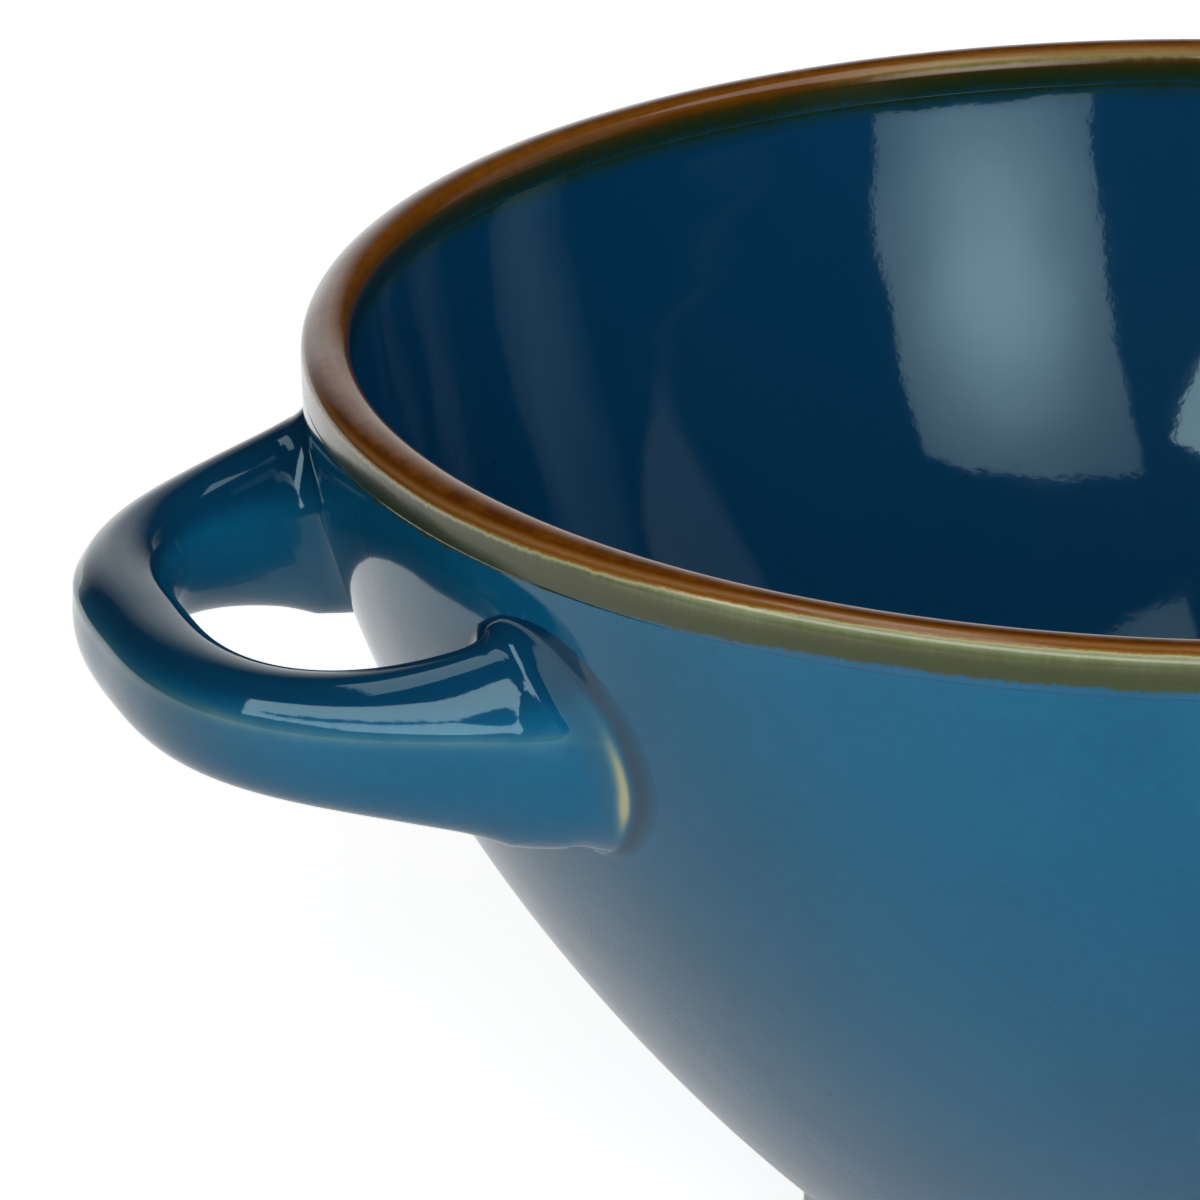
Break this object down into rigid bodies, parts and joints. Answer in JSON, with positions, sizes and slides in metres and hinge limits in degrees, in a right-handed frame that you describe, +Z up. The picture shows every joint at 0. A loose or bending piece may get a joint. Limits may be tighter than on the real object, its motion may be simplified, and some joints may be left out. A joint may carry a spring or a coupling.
{
  "type": "lug soup bowl",
  "caption": "Round stoneware soup bowl with a curved wall, a rounded lip under a brown glaze coat, a turned foot ring and a looped lug handle on either side.",
  "frame": {"origin": "on the table, at the middle of the foot ring's standing face", "axes": "+Z up along the bowl's axis; X through the middles of the two handles"},
  "size_m": [0.1774, 0.14, 0.075],
  "materials": {
    "blue_glaze": "glossy deep blue glaze, paler and greener where it thins over edges",
    "brown_glaze": "glossy brown to amber glaze, olive where it runs over the blue",
    "bare_clay": "matt unglazed stoneware"
  },
  "bodies": {
    "root": {"bowl_body": "blue_glaze", "rim_glaze": "brown_glaze", "left_handle": "blue_glaze", "right_handle": "blue_glaze", "foot_ring": "bare_clay"}
  },
  "joints": []
}
